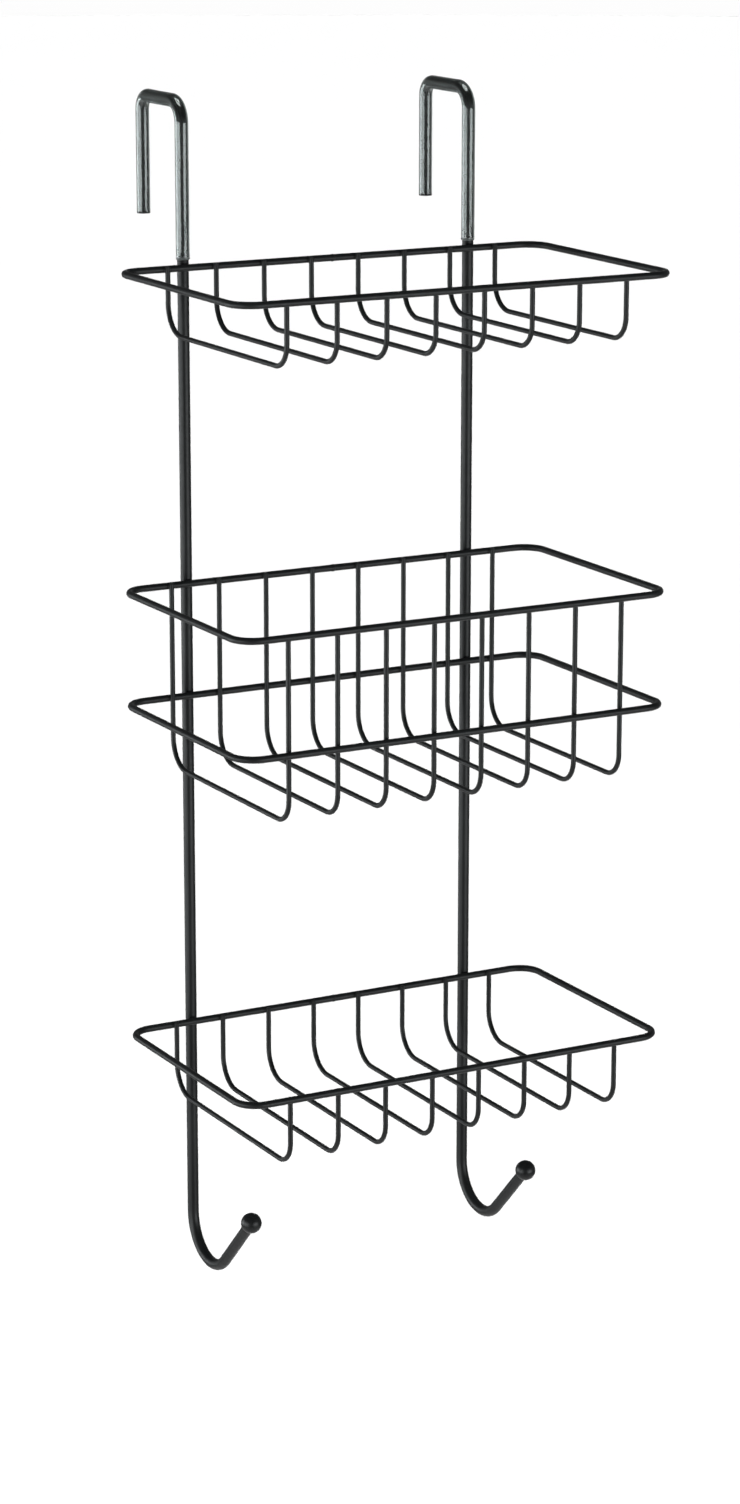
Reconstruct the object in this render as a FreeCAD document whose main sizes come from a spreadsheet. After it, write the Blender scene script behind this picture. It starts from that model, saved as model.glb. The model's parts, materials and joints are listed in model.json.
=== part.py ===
import FreeCAD, Part
import math
import os
import Sketcher
from FreeCAD import Vector

# Over-panel shower caddy of welded round wire with a powder coat.
# Frame: millimetres, +Z up, +X to the viewer's right, -Y to the front (the baskets' side).
# Origin: midway between the two top hooks, in the middle of the panel gap,
# at the underside of the sleeved hooks, which is where the caddy rests on the panel's top edge.

doc = FreeCAD.newDocument("shower_caddy")

# ---------------------------------------------------------------- driving dimensions

SIZES = [
    ("upright_spacing", 167.9, "between the two uprights' centrelines"),
    ("upright_dia", 6.0, "wire of the uprights"),
    ("rim_dia", 3.6, "wire of the rims"),
    ("cross_dia", 2.6, "wire of the U-shaped basket wires"),
    ("sleeve_outer_dia", 7.2, "clear tube, outside"),
    ("sleeve_bore_dia", 6.1, "clear tube, inside"),
    ("ball_dia", 11.0, "ball on the end of each lower hook"),
    ("ball_socket_past_centre", 1.0, "how far the wire goes past the ball's centre"),
    ("weld_sink", 0.12, "how far two wires sink into each other at a weld"),
    ("panel_gap", 39.0, "clear gap between the sleeved stem and the sleeved rear leg"),
    ("hook_bend_front", 11.0, "centreline radius of the bend above the stem"),
    ("hook_bend_rear", 7.5, "centreline radius of the bend above the rear leg"),
    ("rear_leg_end", -57.5, "height of the rear leg's lower end"),
    ("sleeve_front_end", -76.3, "height of the sleeve's lower end on the stem"),
    ("basket_width", 246.4, "rim centreline, left to right"),
    ("basket_depth", 137.6, "rim centreline, front to back"),
    ("rim_corner", 12.0, "rim centreline corner radius"),
    ("top_rim_height", -80.1, "rim centreline"),
    ("middle_upper_height", -244.8, "rim centreline"),
    ("middle_lower_height", -304.7, "rim centreline"),
    ("bottom_rim_height", -484.3, "rim centreline"),
    ("cross_spacing", 27.5, "between neighbouring U wires"),
    ("cross_bend_front", 12.0, "centreline radius of a U wire's front bend"),
    ("cross_bend_back", 15.5, "centreline radius of a U wire's back bend"),
    ("cross_tip_round", 0.4, "rounded edge at a U wire's cut ends"),
    ("front_tip_above_rim", 0.5, "U wire's front end above its rim's centreline"),
    ("back_tip_above_rim", 1.8, "U wire's back end above its rim's centreline"),
    ("top_sag", 32.4, "U wire's floor below the top rim"),
    ("middle_sag", 35.8, "U wire's floor below the middle lower rim"),
    ("bottom_sag", 36.1, "U wire's floor below the bottom rim"),
    ("low_hook_bend", 22.5, "centreline radius of the lower hook"),
    ("low_hook_centre_height", -593.5, "height of that bend's centre"),
    ("low_arm_rise", 45.4, "degrees of the lower hook's arm above level"),
    ("low_arm_length", 44.9, "from the bend's end to the ball's centre"),
]

dims = doc.addObject("Spreadsheet::Sheet", "dims")
S = {}
for row, (name, value, note) in enumerate(SIZES, start=1):
    dims.set("A%d" % row, name)
    dims.set("B%d" % row, repr(value))
    dims.set("C%d" % row, note)
    dims.setAlias("B%d" % row, name)
    S[name] = value

# Derived lengths: a spreadsheet formula, and the same value as a number for first positions.
row0 = len(SIZES) + 1
cell = {name: "B%d" % (i + 1) for i, (name, _, _) in enumerate(SIZES)}


def derive(row, name, formula, value, note):
    dims.set("A%d" % row, name)
    dims.set("B%d" % row, formula)
    dims.set("C%d" % row, note)
    dims.setAlias("B%d" % row, name)
    S[name] = value
    cell[name] = "B%d" % row


derive(row0, "bar_height", "=%s / 2" % cell["sleeve_outer_dia"],
       S["sleeve_outer_dia"] / 2, "centreline of the hooks' level bar")
derive(row0 + 1, "stem_back", "=-(%s + %s) / 2" % (cell["panel_gap"], cell["sleeve_outer_dia"]),
       -(S["panel_gap"] + S["sleeve_outer_dia"]) / 2, "Y of the stems' centreline")
derive(row0 + 2, "leg_back", "=(%s + %s) / 2" % (cell["panel_gap"], cell["sleeve_outer_dia"]),
       (S["panel_gap"] + S["sleeve_outer_dia"]) / 2, "Y of the rear legs' centreline")
derive(row0 + 3, "rim_back",
       "=%s - (%s + %s) / 2 + %s" % (cell["stem_back"], cell["upright_dia"], cell["rim_dia"], cell["weld_sink"]),
       S["stem_back"] - (S["upright_dia"] + S["rim_dia"]) / 2 + S["weld_sink"], "Y of the rims' back centreline")
derive(row0 + 4, "cross_back",
       "=%s - (%s + %s) / 2 + %s" % (cell["rim_back"], cell["rim_dia"], cell["cross_dia"], cell["weld_sink"]),
       S["rim_back"] - (S["rim_dia"] + S["cross_dia"]) / 2 + S["weld_sink"], "Y of the U wires' back legs")
derive(row0 + 5, "cross_depth",
       "=%s - (%s + %s) + 2 * %s" % (cell["basket_depth"], cell["rim_dia"], cell["cross_dia"], cell["weld_sink"]),
       S["basket_depth"] - (S["rim_dia"] + S["cross_dia"]) + 2 * S["weld_sink"], "between a U wire's two legs")
doc.recompute()

# ---------------------------------------------------------------- helpers


def new_body(name):
    body = doc.addObject("PartDesign::Body", name)
    body.Label = name
    body.Placement = FreeCAD.Placement()
    return body


def plane(body, role):
    for feature in body.Origin.OriginFeatures:
        if feature.Role == role:
            return feature
    raise RuntimeError("no %s in %s" % (role, body.Name))


def new_sketch(body, name, role, offset=None):
    sketch = body.newObject("Sketcher::SketchObject", name)
    sketch.AttachmentSupport = [(plane(body, role), "")]
    sketch.MapMode = "FlatFace"
    if offset:
        sketch.setExpression("AttachmentOffset.Base.z", offset)
    return sketch


def rule(sketch, name, expression, *args):
    """A named dimension tied to the spreadsheet."""
    index = sketch.addConstraint(Sketcher.Constraint(*args))
    sketch.renameConstraint(index, name)
    sketch.setExpression("Constraints." + name, expression)


def line(sketch, p, q):
    return sketch.addGeometry(Part.LineSegment(Vector(p[0], p[1], 0), Vector(q[0], q[1], 0)), False)


def arc(sketch, centre, radius, start, end):
    circle = Part.Circle(Vector(centre[0], centre[1], 0), Vector(0, 0, 1), radius)
    return sketch.addGeometry(Part.ArcOfCircle(circle, math.radians(start), math.radians(end)), False)


def smooth(sketch, a, a_end, b, b_end):
    sketch.addConstraint(Sketcher.Constraint("Tangent", a, a_end, b, b_end))


def section(body, name, role, offset, at, dia, bore=None):
    """Round wire section; with bore, a tube."""
    sketch = new_sketch(body, name, role, offset)
    (u, u_rule), (v, v_rule) = at
    ring = sketch.addGeometry(Part.Circle(Vector(u, v, 0), Vector(0, 0, 1), S[dia] / 2), False)
    rule(sketch, "wire_dia", "dims." + dia, "Diameter", ring, S[dia])
    if abs(u) < 1e-9:
        sketch.addConstraint(Sketcher.Constraint("PointOnObject", ring, 3, -2))
    else:
        rule(sketch, "centre_across", u_rule, "DistanceX", -1, 1, ring, 3, u)
    if abs(v) < 1e-9:
        sketch.addConstraint(Sketcher.Constraint("PointOnObject", ring, 3, -1))
    else:
        rule(sketch, "centre_up", v_rule, "DistanceY", -1, 1, ring, 3, v)
    if bore:
        hole = sketch.addGeometry(Part.Circle(Vector(u, v, 0), Vector(0, 0, 1), S[bore] / 2), False)
        rule(sketch, "bore_dia", "dims." + bore, "Diameter", hole, S[bore])
        sketch.addConstraint(Sketcher.Constraint("Coincident", ring, 3, hole, 3))
    return sketch


def sweep(body, name, profile, path):
    pipe = body.newObject("PartDesign::AdditivePipe", name)
    pipe.Profile = profile
    pipe.Spine = (path, [])
    pipe.Mode = "Standard"
    pipe.Transition = "Round corner"
    profile.Visibility = False
    path.Visibility = False
    body.Tip = pipe
    return pipe


NODES = []

# ---------------------------------------------------------------- rims


def make_rim(name, height):
    body = new_body(name)
    path = new_sketch(body, name + "_path", "XY_Plane", "dims." + height)
    half, r = S["basket_width"] / 2, S["rim_corner"]
    back = S["rim_back"]
    front = back - S["basket_depth"]
    # the wire starts and ends at the butt weld in the middle of the back
    g = [line(path, (0, back), (-half + r, back)),
         arc(path, (-half + r, back - r), r, 90, 180),
         line(path, (-half, back - r), (-half, front + r)),
         arc(path, (-half + r, front + r), r, 180, 270),
         line(path, (-half + r, front), (half - r, front)),
         arc(path, (half - r, front + r), r, 270, 360),
         line(path, (half, front + r), (half, back - r)),
         arc(path, (half - r, back - r), r, 0, 90),
         line(path, (half - r, back), (0, back))]
    for i in range(8):
        smooth(path, g[i], 2, g[i + 1], 1)
    path.addConstraint(Sketcher.Constraint("Coincident", g[8], 2, g[0], 1))
    path.addConstraint(Sketcher.Constraint("PointOnObject", g[0], 1, -2))
    for i in (0, 4, 8):
        path.addConstraint(Sketcher.Constraint("Horizontal", g[i]))
    for i in (2, 6):
        path.addConstraint(Sketcher.Constraint("Vertical", g[i]))
    for i in (3, 5, 7):
        path.addConstraint(Sketcher.Constraint("Equal", g[1], g[i]))
    rule(path, "corner", "dims.rim_corner", "Radius", g[1], r)
    rule(path, "back_line", "dims.rim_back", "DistanceY", -1, 1, g[0], 1, back)
    rule(path, "half_width", "dims.basket_width / 2", "DistanceX", -1, 1, g[6], 1, half)
    rule(path, "width", "dims.basket_width", "DistanceX", g[2], 1, g[6], 1, 2 * half)
    rule(path, "depth", "dims.basket_depth", "DistanceY", g[4], 1, g[0], 1, S["basket_depth"])
    ring = section(body, name + "_section", "YZ_Plane", None,
                   ((back, "dims.rim_back"), (S[height], "dims." + height)), "rim_dia")
    sweep(body, name + "_wire", ring, path)
    NODES.append(body)
    return body


make_rim("top_rim", "top_rim_height")
make_rim("middle_upper_rim", "middle_upper_height")
make_rim("middle_lower_rim", "middle_lower_height")
make_rim("bottom_rim", "bottom_rim_height")

# ---------------------------------------------------------------- U-shaped basket wires


def make_cross_wire(name, index, tip_rim, floor_rim, sag):
    body = new_body(name)
    body.Placement.Base.x = (index - 4.5) * S["cross_spacing"]
    body.setExpression("Placement.Base.x", "dims.cross_spacing * (%r)" % (index - 4.5))
    tip_rule = "dims.%s + dims.back_tip_above_rim" % tip_rim
    front_rule = "dims.%s + dims.front_tip_above_rim" % tip_rim
    floor_rule = "dims.%s - dims.%s" % (floor_rim, sag)
    tip = S[tip_rim] + S["back_tip_above_rim"]
    front_tip = S[tip_rim] + S["front_tip_above_rim"]
    floor = S[floor_rim] - S[sag]
    back, deep = S["cross_back"], S["cross_depth"]
    r, rf = S["cross_bend_back"], S["cross_bend_front"]
    front = back - deep
    path = new_sketch(body, name + "_path", "YZ_Plane")
    g = [line(path, (back, tip), (back, floor + r)),
         arc(path, (back - r, floor + r), r, -90, 0),
         line(path, (back - r, floor), (front + rf, floor)),
         arc(path, (front + rf, floor + rf), rf, 180, 270),
         line(path, (front, floor + rf), (front, front_tip))]
    smooth(path, g[0], 2, g[1], 2)
    smooth(path, g[1], 1, g[2], 1)
    smooth(path, g[2], 2, g[3], 2)
    smooth(path, g[3], 1, g[4], 1)
    path.addConstraint(Sketcher.Constraint("Vertical", g[0]))
    path.addConstraint(Sketcher.Constraint("Horizontal", g[2]))
    path.addConstraint(Sketcher.Constraint("Vertical", g[4]))
    rule(path, "back_bend", "dims.cross_bend_back", "Radius", g[1], r)
    rule(path, "front_bend", "dims.cross_bend_front", "Radius", g[3], rf)
    rule(path, "back_leg", "dims.cross_back", "DistanceX", -1, 1, g[0], 1, back)
    rule(path, "legs_apart", "dims.cross_depth", "DistanceX", g[4], 2, g[0], 1, deep)
    rule(path, "tip_height", tip_rule, "DistanceY", -1, 1, g[0], 1, tip)
    rule(path, "front_tip_height", front_rule, "DistanceY", -1, 1, g[4], 2, front_tip)
    rule(path, "floor_height", floor_rule, "DistanceY", -1, 1, g[2], 1, floor)
    ring = section(body, name + "_section", "XY_Plane", tip_rule,
                   ((0.0, None), (back, "dims.cross_back")), "cross_dia")
    pipe = sweep(body, name + "_wire", ring, path)
    doc.recompute()
    # the two cut ends are softened by the coating
    ends = []
    for i, edge in enumerate(pipe.Shape.Edges, start=1):
        box = edge.BoundBox
        if box.ZLength < 1e-6 and min(abs(box.ZMax - tip), abs(box.ZMax - front_tip)) < 1e-4:
            ends.append("Edge%d" % i)
    soft = body.newObject("PartDesign::Fillet", name + "_tips")
    soft.Base = (pipe, ends)
    soft.Radius = S["cross_tip_round"]
    soft.setExpression("Radius", "dims.cross_tip_round")
    pipe.Visibility = False
    body.Tip = soft
    NODES.append(body)
    return body


for k in range(1, 9):
    make_cross_wire("top_wire_%d" % k, k, "top_rim_height", "top_rim_height", "top_sag")
for k in range(1, 9):
    make_cross_wire("middle_wire_%d" % k, k, "middle_upper_height", "middle_lower_height", "middle_sag")
for k in range(1, 9):
    make_cross_wire("bottom_wire_%d" % k, k, "bottom_rim_height", "bottom_rim_height", "bottom_sag")

# ---------------------------------------------------------------- uprights with hooks, sleeves, balls


def hook_lines(path, stem_end):
    """Rear leg, two bends, level bar and stem: shared by the wire and its sleeve."""
    leg, stem, bar = S["leg_back"], S["stem_back"], S["bar_height"]
    rr, rf = S["hook_bend_rear"], S["hook_bend_front"]
    g = [line(path, (leg, S["rear_leg_end"]), (leg, bar - rr)),
         arc(path, (leg - rr, bar - rr), rr, 0, 90),
         line(path, (leg - rr, bar), (stem + rf, bar)),
         arc(path, (stem + rf, bar - rf), rf, 90, 180),
         line(path, (stem, bar - rf), (stem, stem_end))]
    for i in range(4):
        smooth(path, g[i], 2, g[i + 1], 1)
    path.addConstraint(Sketcher.Constraint("Vertical", g[0]))
    path.addConstraint(Sketcher.Constraint("Horizontal", g[2]))
    path.addConstraint(Sketcher.Constraint("Vertical", g[4]))
    rule(path, "rear_bend", "dims.hook_bend_rear", "Radius", g[1], rr)
    rule(path, "front_bend", "dims.hook_bend_front", "Radius", g[3], rf)
    rule(path, "leg_place", "dims.leg_back", "DistanceX", -1, 1, g[0], 1, leg)
    rule(path, "leg_end", "dims.rear_leg_end", "DistanceY", -1, 1, g[0], 1, S["rear_leg_end"])
    rule(path, "bar_place", "dims.bar_height", "DistanceY", -1, 1, g[2], 1, bar)
    rule(path, "stem_place", "dims.stem_back", "DistanceX", -1, 1, g[4], 2, stem)
    return g


def make_upright(name, side):
    body = new_body(name)
    body.Placement.Base.x = side * S["upright_spacing"] / 2
    body.setExpression("Placement.Base.x", "dims.upright_spacing * (%r)" % (side / 2))
    path = new_sketch(body, name + "_path", "YZ_Plane")
    centre = S["low_hook_centre_height"]
    g = hook_lines(path, centre)
    rule(path, "stem_end", "dims.low_hook_centre_height", "DistanceY", -1, 1, g[4], 2, centre)
    r, rise = S["low_hook_bend"], S["low_arm_rise"]
    a = math.radians(rise)
    reach = S["low_arm_length"] + S["ball_socket_past_centre"]
    cy, cz = S["stem_back"] - r, centre
    start = (cy - r * math.sin(a), cz - r * math.cos(a))
    low = arc(path, (cy, cz), r, -(90 + rise), 0)
    arm = line(path, start, (start[0] - reach * math.cos(a), start[1] + reach * math.sin(a)))
    smooth(path, g[4], 2, low, 2)
    smooth(path, low, 1, arm, 1)
    rule(path, "low_bend", "dims.low_hook_bend", "Radius", low, r)
    rule(path, "arm_reach", "dims.low_arm_length + dims.ball_socket_past_centre", "Distance", arm, reach)
    rule(path, "arm_across", "(dims.low_arm_length + dims.ball_socket_past_centre) * cos(dims.low_arm_rise)",
         "DistanceX", arm, 2, arm, 1, reach * math.cos(a))
    ring = section(body, name + "_section", "XY_Plane", "dims.rear_leg_end",
                   ((0.0, None), (S["leg_back"], "dims.leg_back")), "upright_dia")
    sweep(body, name + "_wire", ring, path)
    NODES.append(body)
    return body


def make_sleeve(name, side):
    body = new_body(name)
    body.Placement.Base.x = side * S["upright_spacing"] / 2
    body.setExpression("Placement.Base.x", "dims.upright_spacing * (%r)" % (side / 2))
    path = new_sketch(body, name + "_path", "YZ_Plane")
    g = hook_lines(path, S["sleeve_front_end"])
    rule(path, "stem_end", "dims.sleeve_front_end", "DistanceY", -1, 1, g[4], 2, S["sleeve_front_end"])
    ring = section(body, name + "_section", "XY_Plane", "dims.rear_leg_end",
                   ((0.0, None), (S["leg_back"], "dims.leg_back")), "sleeve_outer_dia", "sleeve_bore_dia")
    sweep(body, name + "_tube", ring, path)
    NODES.append(body)
    return body


def make_ball(name, side):
    body = new_body(name)
    a = math.radians(S["low_arm_rise"])
    r = S["low_hook_bend"]
    y = S["stem_back"] - r - r * math.sin(a) - S["low_arm_length"] * math.cos(a)
    z = S["low_hook_centre_height"] - r * math.cos(a) + S["low_arm_length"] * math.sin(a)
    body.Placement = FreeCAD.Placement(Vector(side * S["upright_spacing"] / 2, y, z),
                                       FreeCAD.Rotation(Vector(1, 0, 0), 90 - S["low_arm_rise"]))
    body.setExpression("Placement.Base.x", "dims.upright_spacing * (%r)" % (side / 2))
    body.setExpression("Placement.Base.y",
                       "dims.stem_back - dims.low_hook_bend * (1 + sin(dims.low_arm_rise))"
                       " - dims.low_arm_length * cos(dims.low_arm_rise)")
    body.setExpression("Placement.Base.z",
                       "dims.low_hook_centre_height - dims.low_hook_bend * cos(dims.low_arm_rise)"
                       " + dims.low_arm_length * sin(dims.low_arm_rise)")
    # half section beside the Z axis; the wire comes in from below along -Z
    sketch = new_sketch(body, name + "_section", "XZ_Plane")
    ball, hole, top = S["ball_dia"] / 2, S["upright_dia"] / 2, S["ball_socket_past_centre"]
    mouth = -math.sqrt(ball ** 2 - hole ** 2)
    skin = arc(sketch, (0, 0), ball, math.degrees(math.atan2(mouth, hole)), 90)
    axis = line(sketch, (0, ball), (0, top))
    floor = line(sketch, (0, top), (hole, top))
    wall = line(sketch, (hole, top), (hole, mouth))
    sketch.addConstraint(Sketcher.Constraint("Coincident", skin, 3, -1, 1))
    sketch.addConstraint(Sketcher.Constraint("Coincident", skin, 2, axis, 1))
    sketch.addConstraint(Sketcher.Constraint("Coincident", axis, 2, floor, 1))
    sketch.addConstraint(Sketcher.Constraint("Coincident", floor, 2, wall, 1))
    sketch.addConstraint(Sketcher.Constraint("Coincident", wall, 2, skin, 1))
    sketch.addConstraint(Sketcher.Constraint("PointOnObject", axis, 1, -2))
    sketch.addConstraint(Sketcher.Constraint("PointOnObject", axis, 2, -2))
    sketch.addConstraint(Sketcher.Constraint("Horizontal", floor))
    sketch.addConstraint(Sketcher.Constraint("Vertical", wall))
    rule(sketch, "ball_radius", "dims.ball_dia / 2", "Radius", skin, ball)
    rule(sketch, "hole_radius", "dims.upright_dia / 2", "DistanceX", floor, 1, floor, 2, hole)
    rule(sketch, "hole_floor", "dims.ball_socket_past_centre", "DistanceY", -1, 1, floor, 1, top)
    turn = body.newObject("PartDesign::Revolution", name + "_ball")
    turn.Profile = sketch
    turn.ReferenceAxis = (sketch, ["V_Axis"])
    turn.Angle = 360.0
    sketch.Visibility = False
    body.Tip = turn
    NODES.append(body)
    return body


for side, word in ((-1, "left"), (1, "right")):
    make_upright("upright_" + word, side)
    make_sleeve("hook_sleeve_" + word, side)
    make_ball("ball_tip_" + word, side)

# ---------------------------------------------------------------- checks and export

doc.recompute()
for item in doc.Objects:
    if "Invalid" in item.State or "Error" in item.State:
        raise RuntimeError("%s: %s" % (item.Name, item.State))

os.makedirs("parts", exist_ok=True)
whole = FreeCAD.BoundBox()
for body in NODES:
    shape = body.Shape
    if shape.isNull() or not shape.isValid() or len(shape.Solids) != 1:
        raise RuntimeError("%s has no single valid solid" % body.Label)
    shape.exportStep("parts/%s.step" % body.Label)
    whole.add(shape.BoundBox)
    print("%-20s volume %9.1f mm3  faces %3d" % (body.Label, shape.Volume, len(shape.Faces)))
print("nodes", len(NODES))
print("X %.2f..%.2f  Y %.2f..%.2f  Z %.2f..%.2f" % (whole.XMin, whole.XMax, whole.YMin, whole.YMax,
                                                 whole.ZMin, whole.ZMax))
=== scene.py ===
import json
import math

import bmesh
import bpy
from mathutils import Matrix, Vector, noise

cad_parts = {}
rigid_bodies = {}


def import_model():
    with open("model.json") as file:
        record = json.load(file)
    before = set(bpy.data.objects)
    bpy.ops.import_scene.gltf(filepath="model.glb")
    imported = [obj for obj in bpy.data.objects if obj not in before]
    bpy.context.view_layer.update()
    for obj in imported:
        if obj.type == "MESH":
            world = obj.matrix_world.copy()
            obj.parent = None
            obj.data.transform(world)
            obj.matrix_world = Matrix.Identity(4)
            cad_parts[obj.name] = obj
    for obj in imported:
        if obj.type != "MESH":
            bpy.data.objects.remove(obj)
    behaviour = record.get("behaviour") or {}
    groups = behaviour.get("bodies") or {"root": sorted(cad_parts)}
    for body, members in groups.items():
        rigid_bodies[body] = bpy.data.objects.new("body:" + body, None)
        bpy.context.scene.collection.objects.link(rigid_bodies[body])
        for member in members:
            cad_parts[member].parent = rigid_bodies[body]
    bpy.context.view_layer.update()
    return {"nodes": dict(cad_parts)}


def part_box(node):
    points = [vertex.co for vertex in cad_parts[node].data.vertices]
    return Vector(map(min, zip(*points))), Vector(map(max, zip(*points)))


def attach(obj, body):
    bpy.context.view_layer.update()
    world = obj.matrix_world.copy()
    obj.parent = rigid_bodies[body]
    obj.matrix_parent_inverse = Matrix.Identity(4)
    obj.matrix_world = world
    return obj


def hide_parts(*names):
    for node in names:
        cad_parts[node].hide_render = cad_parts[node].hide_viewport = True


for stray in list(bpy.data.objects):
    bpy.data.objects.remove(stray, do_unlink=True)

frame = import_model()
nodes = frame["nodes"]
scene = bpy.context.scene
MM = 0.001


# ---------------------------------------------------------------- materials

def new_material(name):
    m = bpy.data.materials.new(name)
    m.use_nodes = True
    tree = m.node_tree
    return m, tree.nodes, tree.links, tree.nodes["Principled BSDF"]


def node(ns, kind, **values):
    n = ns.new(kind)
    for key, value in values.items():
        if key in n.inputs:
            n.inputs[key].default_value = value
        else:
            setattr(n, key, value)
    return n


def remap(ns, ln, source, low, high, to_low, to_high):
    n = ns.new("ShaderNodeMapRange")
    n.inputs["From Min"].default_value = low
    n.inputs["From Max"].default_value = high
    n.inputs["To Min"].default_value = to_low
    n.inputs["To Max"].default_value = to_high
    ln.new(source, n.inputs["Value"])
    return n.outputs["Result"]


def coat_material(name, base, light, rough, grain=1.0):
    """Powder coat: near-black, satin, with orange peel, fine grain and thin dust."""
    m, ns, ln, bsdf = new_material(name)
    place = ns.new("ShaderNodeTexCoord")
    peel = node(ns, "ShaderNodeTexNoise", Scale=620.0, Detail=2.0, Roughness=0.5)
    fine = node(ns, "ShaderNodeTexNoise", Scale=3600.0, Detail=3.0, Roughness=0.6)
    cloud = node(ns, "ShaderNodeTexNoise", Scale=34.0, Detail=4.0, Roughness=0.55)
    speck = node(ns, "ShaderNodeTexVoronoi", Scale=1300.0)
    for t in (peel, fine, cloud, speck):
        ln.new(place.outputs["Object"], t.inputs["Vector"])

    # colour: black that greys a little in patches, with a few pale grains of dust in it
    tone = ns.new("ShaderNodeValToRGB")
    tone.color_ramp.elements[0].position = 0.38
    tone.color_ramp.elements[0].color = (*base, 1)
    tone.color_ramp.elements[1].position = 0.72
    tone.color_ramp.elements[1].color = (*light, 1)
    ln.new(cloud.outputs["Fac"], tone.inputs["Fac"])
    mix = ns.new("ShaderNodeMix")
    mix.data_type = "RGBA"
    ln.new(remap(ns, ln, speck.outputs["Distance"], 0.10, 0.04, 0.0, 0.30), mix.inputs["Factor"])
    ln.new(tone.outputs["Color"], mix.inputs["A"])
    mix.inputs["B"].default_value = (0.045, 0.050, 0.050, 1)
    ln.new(mix.outputs["Result"], bsdf.inputs["Base Color"])

    # roughness: satin, a little uneven
    ln.new(remap(ns, ln, peel.outputs["Fac"], 0.3, 0.7, rough - 0.04, rough + 0.07), bsdf.inputs["Roughness"])

    # relief: orange peel under fine grain
    b1 = node(ns, "ShaderNodeBump", Strength=0.22 * grain, Distance=0.00010)
    b2 = node(ns, "ShaderNodeBump", Strength=0.20 * grain, Distance=0.00003)
    ln.new(peel.outputs["Fac"], b1.inputs["Height"])
    ln.new(fine.outputs["Fac"], b2.inputs["Height"])
    ln.new(b1.outputs["Normal"], b2.inputs["Normal"])
    ln.new(b2.outputs["Normal"], bsdf.inputs["Normal"])
    bsdf.inputs["Specular IOR Level"].default_value = SPEC
    return m


def sleeve_material(name, low=0.06, high=0.14, clear=1.0):
    """Clear soft vinyl, glossy, with a trace of grey-green in it; frosted where it was cut."""
    m, ns, ln, bsdf = new_material(name)
    place = ns.new("ShaderNodeTexCoord")
    haze = node(ns, "ShaderNodeTexNoise", Scale=90.0, Detail=3.0, Roughness=0.5)
    wave = node(ns, "ShaderNodeTexNoise", Scale=210.0, Detail=1.0)
    for t in (haze, wave):
        ln.new(place.outputs["Object"], t.inputs["Vector"])
    tint = ns.new("ShaderNodeValToRGB")
    tint.color_ramp.elements[0].color = (0.76, 0.84, 0.82, 1)
    tint.color_ramp.elements[1].color = (0.86, 0.92, 0.905, 1)
    ln.new(haze.outputs["Fac"], tint.inputs["Fac"])
    ln.new(tint.outputs["Color"], bsdf.inputs["Base Color"])
    ln.new(remap(ns, ln, haze.outputs["Fac"], 0.3, 0.7, low, high), bsdf.inputs["Roughness"])
    bump = node(ns, "ShaderNodeBump", Strength=0.08, Distance=0.0002)
    ln.new(wave.outputs["Fac"], bump.inputs["Height"])
    ln.new(bump.outputs["Normal"], bsdf.inputs["Normal"])
    bsdf.inputs["Transmission Weight"].default_value = clear
    bsdf.inputs["IOR"].default_value = 1.5
    return m


SPEC = 0.26
ROOM = ((-0.66, 0.9), (-0.40, 0.12), (-0.12, 0.26), (0.10, 0.26), (0.45, 0.07))
SOFTBOXES = (("soft_left", -48, 2.0, 1.2, 4.6), ("soft_left_back", -95, 2.0, 1.2, 4.4), ("soft_right", 50, 2.0, 1.2, 4.6))
wire_coat = coat_material("powder_coat_black", (0.0036, 0.0040, 0.0042), (0.0072, 0.0080, 0.0082), 0.40)
ball_coat = coat_material("ball_black", (0.0040, 0.0043, 0.0045), (0.0065, 0.0070, 0.0072), 0.34, grain=0.6)
clear_vinyl = sleeve_material("clear_vinyl")
cut_vinyl = sleeve_material("cut_vinyl", 0.45, 0.6, 0.25)
edge_vinyl = sleeve_material("edge_vinyl", 0.30, 0.42, 0.90)

for name, obj in nodes.items():
    mat = wire_coat
    if name.startswith("hook_sleeve"):
        mat = clear_vinyl
    elif name.startswith("ball_tip"):
        mat = ball_coat
    for s in obj.material_slots:
        s.material = mat


def finish_mesh(bm, name, material, smooth=True):
    me = bpy.data.meshes.new(name)
    bm.to_mesh(me)
    bm.free()
    for p in me.polygons:
        p.use_smooth = smooth
    me.materials.append(material)
    return me


def put(name, mesh, where=(0, 0, 0)):
    obj = bpy.data.objects.new(name, mesh)
    scene.collection.objects.link(obj)
    obj.location = where
    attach(obj, "root")
    return obj


# ---------------------------------------------------------------- clear sleeves

SECTION = 48
BORE, OUTER = 3.05 * MM, 3.6 * MM
BEND_REAR, BEND_FRONT = 7.5 * MM, 11.0 * MM
LEG_END = -57.5 * MM


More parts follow.
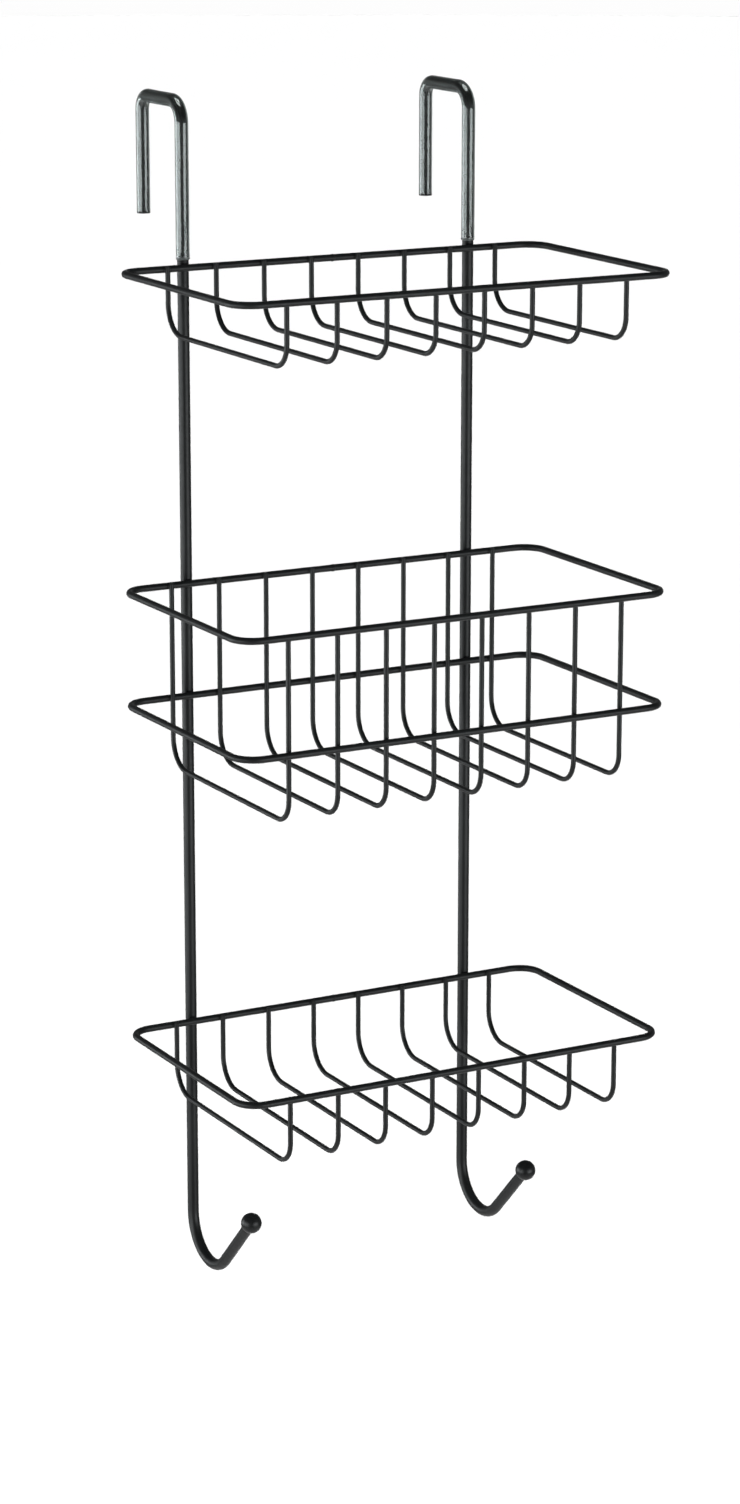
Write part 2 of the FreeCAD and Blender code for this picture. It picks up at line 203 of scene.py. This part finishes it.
def hook_line(x, leg, stem, bar, leg_end, stem_end):
    """Points of the hook's centreline from the rear leg's end, over the bar, down the stem, with each one's direction
    and how tight the bend is there."""
    out = []

    def run(p, q, step):
        n = max(2, round((q - p).length / step))
        for i in range(n):
            out.append((p.lerp(q, i / n), (q - p).normalized(), 0.0))

    def bend(centre, r, a0, a1, n):
        for i in range(n):
            a = math.radians(a0 + (a1 - a0) * i / n)
            out.append((Vector((x, centre[0] + r * math.cos(a), centre[1] + r * math.sin(a))),
                        Vector((0, -math.sin(a), math.cos(a))), r))

    run(Vector((x, leg, leg_end)), Vector((x, leg, bar - BEND_REAR)), 1.2 * MM)
    bend((leg - BEND_REAR, bar - BEND_REAR), BEND_REAR, 0, 90, 30)
    run(Vector((x, leg - BEND_REAR, bar)), Vector((x, stem + BEND_FRONT, bar)), 1.2 * MM)
    bend((stem + BEND_FRONT, bar - BEND_FRONT), BEND_FRONT, 90, 180, 36)
    run(Vector((x, stem, bar - BEND_FRONT)), Vector((x, stem, stem_end)), 1.2 * MM)
    out.append((Vector((x, stem, stem_end)), Vector((0, 0, -1)), 0.0))
    return out


def sleeve_mesh(name, word):
    lo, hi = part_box("hook_sleeve_" + word)
    x = (lo[0] + hi[0]) / 2
    leg, stem, bar = hi[1] - OUTER, lo[1] + OUTER, hi[2] - OUTER
    line = hook_line(x, leg, stem, bar, LEG_END, lo[2])
    seed = 11.3 if word == "left" else 47.9
    # distance along the tube at each section
    along = [0.0]
    for i in range(1, len(line)):
        along.append(along[-1] + (line[i][0] - line[i - 1][0]).length)
    total = along[-1]
    bm = bmesh.new()
    side = Vector((1, 0, 0))

    centre_of = {}
    for i, (p, d, r) in enumerate(line):
        if r:
            rear = p.y > (leg + stem) / 2
            centre_of[i] = Vector((x, leg - BEND_REAR, bar - BEND_REAR) if rear else (x, stem + BEND_FRONT, bar - BEND_FRONT))

    def ring(i, inner, shift=0.0, shrink=0.0):
        p, d, r = line[i]
        up = side.cross(d)
        verts = []
        for k in range(SECTION):
            a = 2 * math.pi * k / SECTION
            out_dir = side * math.cos(a) + up * math.sin(a)
            where = Vector((out_dir.x * 1.3 + seed, (out_dir.y + out_dir.z) * 1.3, along[i] / (18 * MM)))
            slow = noise.noise(where)
            quick = noise.noise(Vector((where.x * 2.1 + 5, where.y * 2.1, where.z * 4.0)))
            if inner:
                radius = BORE + 0.02 * MM + 0.035 * MM * (slow + 0.3 * quick + 0.4)
                radius = max(radius, BORE + 0.005 * MM)
            else:
                # the soft tube creases a little on the inside of each bend
                crease = 0.0
                if r:
                    inside = max(0.0, -out_dir.dot((p - centre_of[i]).normalized()))
                    crease = 0.07 * MM * inside ** 2 * math.sin(along[i] / (0.62 * MM) + 3 * slow)
                radius = OUTER - 0.05 * MM + 0.04 * MM * slow + 0.01 * MM * quick + crease
            radius += shrink if inner else -shrink
            verts.append(bm.verts.new(p + d * shift + out_dir * radius))
        return verts

    last = len(line) - 1
    lip = 0.14 * MM
    outer = [ring(0, False, 0.0, lip), ring(0, False, lip * 0.3, lip * 0.3)]
    outer += [ring(i, False) for i in range(1, last)]
    outer += [ring(last, False, -lip * 0.3, lip * 0.3), ring(last, False, 0.0, lip)]
    inner = [ring(0, True, 0.0, lip * 0.5)]
    inner += [ring(i, True) for i in range(1, last)]
    inner += [ring(last, True, 0.0, lip * 0.5)]

    def skin(rings, flip):
        for a, b in zip(rings, rings[1:]):
            for k in range(SECTION):
                j = (k + 1) % SECTION
                f = (a[k], a[j], b[j], b[k])
                bm.faces.new(tuple(reversed(f)) if flip else f)

    skin(outer, False)
    skin(inner, True)
    bm.faces.ensure_lookup_table()
    for k in range(SECTION):
        j = (k + 1) % SECTION
        bm.faces.new((inner[0][k], inner[0][j], outer[0][j], outer[0][k]))
        bm.faces.new((outer[-1][k], outer[-1][j], inner[-1][j], inner[-1][k]))
    bm.faces.ensure_lookup_table()
    # the two cut faces, and the whitened edge above the lower one
    for f in bm.faces[-2 * SECTION:]:
        f.material_index = 1
    for f in bm.faces[(len(outer) - 3) * SECTION:(len(outer) - 1) * SECTION]:
        f.material_index = 2
    bmesh.ops.recalc_face_normals(bm, faces=bm.faces)
    me = finish_mesh(bm, name, clear_vinyl)
    me.materials.append(cut_vinyl)
    me.materials.append(edge_vinyl)
    return me


for word in ("left", "right"):
    tube = put("vinyl_tube_" + word, sleeve_mesh("vinyl_tube_" + word, word))
    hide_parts("hook_sleeve_" + word)


# ---------------------------------------------------------------- weld flash at every crossing

def middle(low, high, axis):
    return (low[axis] + high[axis]) / 2


def weld_mesh(name, r_along, r_up, r_deep, seed):
    """A small lens of metal squeezed out round a resistance weld."""
    bm = bmesh.new()
    bmesh.ops.create_icosphere(bm, subdivisions=3, radius=1.0)
    for v in bm.verts:
        n = v.co.copy()
        wob = 1 + 0.10 * noise.noise(n * 1.6 + Vector((seed * 3.7, seed, 0)))
        v.co = Vector((n.x * r_along, n.y * r_deep, n.z * r_up)) * wob
    return finish_mesh(bm, name, wire_coat)


RIM = 3.6 * MM          # rim wire
STEM_INSET = 0.6 * MM   # from the sleeve's outside to the stem's surface
lens_back = [weld_mesh("weld_back_%d" % k, 1.45 * MM, 1.55 * MM, 0.66 * MM, k) for k in range(5)]
lens_front = [weld_mesh("weld_front_%d" % k, 1.45 * MM, 1.10 * MM, 0.70 * MM, k + 5) for k in range(5)]
lens_large = [weld_mesh("weld_large_%d" % k, 2.3 * MM, 1.9 * MM, 1.05 * MM, k + 10) for k in range(4)]

count = 0
for basket, rims in (("top", ("top_rim",)), ("middle", ("middle_upper_rim", "middle_lower_rim")),
                     ("bottom", ("bottom_rim",))):
    for rim in rims:
        rlo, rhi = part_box(rim)
        height = middle(rlo, rhi, 2)
        for k in range(1, 9):
            wlo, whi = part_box("%s_wire_%d" % (basket, k))
            x = middle(wlo, whi, 0)
            # the contact lies between the rim's inner face and the wire's outer face
            back = (rhi[1] - RIM + whi[1]) / 2
            front = (rlo[1] + RIM + wlo[1]) / 2
            put("weld_%s_%d_back" % (rim, k), lens_back[count % 5], (x, back, height))
            put("weld_%s_%d_front" % (rim, k), lens_front[(count + 3) % 5], (x, front, height))
            count += 1
        for word in ("left", "right"):
            ulo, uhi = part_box("upright_" + word)
            x = middle(ulo, uhi, 0)
            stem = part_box("hook_sleeve_" + word)[0][1] + STEM_INSET
            put("weld_%s_upright_%s" % (rim, word), lens_large[count % 4],
                (x, (rhi[1] + stem) / 2, height))
            count += 1


# ---------------------------------------------------------------- butt weld in the middle of each rim's back

def butt_mesh(name, seed):
    """The low lumpy collar that is left when a rim's two ends are welded together and filed."""
    bm = bmesh.new()
    rings = []
    for t, r in ((-1.3, 1.76), (-0.95, 1.82), (-0.6, 1.90), (-0.25, 1.96), (0.1, 1.97), (0.45, 1.93), (0.85, 1.85),
                 (1.25, 1.76)):
        ring = []
        for k in range(40):
            a = 2 * math.pi * k / 40
            lump = 1 + 0.05 * noise.noise(Vector((math.cos(a) * 1.2 + seed, math.sin(a) * 1.2, t)))
            ring.append(bm.verts.new(((t + 0.12 * math.sin(2 * a + seed)) * MM, math.cos(a) * r * lump * MM,
                                      math.sin(a) * r * lump * MM)))
        rings.append(ring)
    for a, b in zip(rings, rings[1:]):
        for k in range(40):
            j = (k + 1) % 40
            bm.faces.new((a[k], a[j], b[j], b[k]))
    for ring in (rings[0], rings[-1]):
        tip = bm.verts.new(((rings[0][0].co.x if ring is rings[0] else rings[-1][0].co.x), 0, 0))
        for k in range(40):
            bm.faces.new((ring[k], ring[(k + 1) % 40], tip))
    bmesh.ops.recalc_face_normals(bm, faces=bm.faces)
    return finish_mesh(bm, name, wire_coat)


for k, rim in enumerate(("top_rim", "middle_upper_rim", "middle_lower_rim", "bottom_rim")):
    rlo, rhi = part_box(rim)
    put("butt_weld_" + rim, butt_mesh("butt_weld_" + rim, 2.3 * k + 1),
        (0, rhi[1] - RIM / 2, middle(rlo, rhi, 2)))


# ---------------------------------------------------------------- floor, lights, camera

FLOOR = -1.95
floor_mesh = bpy.data.meshes.new("floor")
size = 150.0
floor_mesh.from_pydata([(-size, -size, FLOOR), (size, -size, FLOOR), (size, size, FLOOR), (-size, size, FLOOR)], [],
                       [(0, 1, 2, 3)])
floor = bpy.data.objects.new("floor", floor_mesh)
scene.collection.objects.link(floor)
paint, ns, ln, bsdf = new_material("pale_floor")
bsdf.inputs["Base Color"].default_value = (0.86, 0.86, 0.86, 1)
bsdf.inputs["Roughness"].default_value = 0.9
bsdf.inputs["Specular IOR Level"].default_value = 0.1
floor_mesh.materials.append(paint)

# a pale backdrop all round, above the floor's far edge
bm = bmesh.new()
bmesh.ops.create_icosphere(bm, subdivisions=4, radius=28.0)
backdrop_paint, ns, ln, bsdf = new_material("pale_backdrop")
bsdf.inputs["Base Color"].default_value = (0.0, 0.0, 0.0, 1)
bsdf.inputs["Specular IOR Level"].default_value = 0.0
bsdf.inputs["Emission Color"].default_value = (1.0, 1.0, 1.0, 1)
bsdf.inputs["Emission Strength"].default_value = 0.985
backdrop = bpy.data.objects.new("backdrop", finish_mesh(bm, "backdrop", backdrop_paint))
scene.collection.objects.link(backdrop)
for thing in (floor, backdrop):
    thing.visible_glossy = False
    thing.visible_transmission = False
backdrop.visible_diffuse = False
backdrop.visible_shadow = False

# a pale card behind the hooks, seen through the clear sleeves
behind = Vector((0.4772, 0.8788, 0.0))
across = Vector((0.8788, -0.4772, 0.0))
corners = [behind * 6.0 + across * (2.0 * u) + Vector((0, 0, -0.75 + 1.2 * v)) for u, v in
           ((-1, -1), (1, -1), (1, 1), (-1, 1))]
card_mesh = bpy.data.meshes.new("pale_card")
card_mesh.from_pydata([tuple(c) for c in corners], [], [(0, 1, 2, 3)])
card_mesh.materials.append(backdrop_paint)
card = bpy.data.objects.new("pale_card", card_mesh)
scene.collection.objects.link(card)
card.visible_camera = False
card.visible_diffuse = False
card.visible_glossy = False
card.visible_shadow = False

# the studio round it: a white table below, and dimmer walls and ceiling
world = bpy.data.worlds.new("studio")
scene.world = world
world.use_nodes = True
wn, wl = world.node_tree.nodes, world.node_tree.links
sky = wn.new("ShaderNodeTexCoord")
split = wn.new("ShaderNodeSeparateXYZ")
wl.new(sky.outputs["Generated"], split.inputs["Vector"])
lift = wn.new("ShaderNodeMapRange")
lift.inputs["From Min"].default_value = -1.0
lift.inputs["From Max"].default_value = 1.0
wl.new(split.outputs["Z"], lift.inputs["Value"])
tones = wn.new("ShaderNodeValToRGB")
tones.color_ramp.interpolation = "EASE"
while len(tones.color_ramp.elements) < len(ROOM):
    tones.color_ramp.elements.new(0.5)
for element, (slope, tone) in zip(tones.color_ramp.elements, ROOM):
    element.position = (slope + 1) / 2
    element.color = (tone, tone, tone, 1)
wl.new(lift.outputs["Result"], tones.inputs["Fac"])
wl.new(tones.outputs["Color"], wn["Background"].inputs["Color"])
wn["Background"].inputs["Strength"].default_value = 1.0


def area(name, where, towards, width, height, radiance):
    data = bpy.data.lights.new(name, "AREA")
    data.shape = "RECTANGLE"
    data.size, data.size_y = width, height
    data.energy = radiance * math.pi * width * height
    data.color = (0.95, 1.0, 1.015)
    obj = bpy.data.objects.new(name, data)
    obj.location = where
    obj.rotation_mode = "QUATERNION"
    obj.rotation_quaternion = (Vector(towards) - Vector(where)).to_track_quat("-Z", "Y")
    obj.visible_camera = False
    scene.collection.objects.link(obj)
    return obj


# softboxes on each side of the camera's direction, their tops just below the hooks
box_top = -0.05
view_turn = math.radians(28.5)


def beside(angle, distance, height):
    """A place at an angle round the caddy from the camera's side, positive to the right."""
    a = math.radians(angle) - view_turn
    return Vector((math.sin(a) * distance, -math.cos(a) * distance, height))


for name, angle, width, tall, radiance in SOFTBOXES:
    height = box_top - tall / 2
    area(name, beside(angle, 2.4, height), (0, -0.07, height), width, tall, radiance)

sun = bpy.data.lights.new("floor_light", "SUN")
sun.energy = 3.5
sun.angle = math.radians(40)
sun_obj = bpy.data.objects.new("floor_light", sun)
sun_obj.visible_glossy = False
scene.collection.objects.link(sun_obj)

scene.view_settings.view_transform = "Standard"

cam = bpy.data.cameras.new("camera")
cam.lens = 96.589
cam.sensor_width = 36.0
cam.sensor_fit = "AUTO"
cam.clip_start, cam.clip_end = 0.05, 400.0
cam_obj = bpy.data.objects.new("camera", cam)
ahead = Vector((0.462071, 0.851035, -0.249460))
up = Vector((0.118446, 0.219548, 0.968385))
turn = Matrix((ahead.cross(up), up, -ahead)).transposed().to_4x4()
cam_obj.matrix_world = Matrix.Translation((-0.98332, -1.88046, 0.19458)) @ turn
scene.collection.objects.link(cam_obj)
scene.camera = cam_obj

bpy.context.view_layer.update()
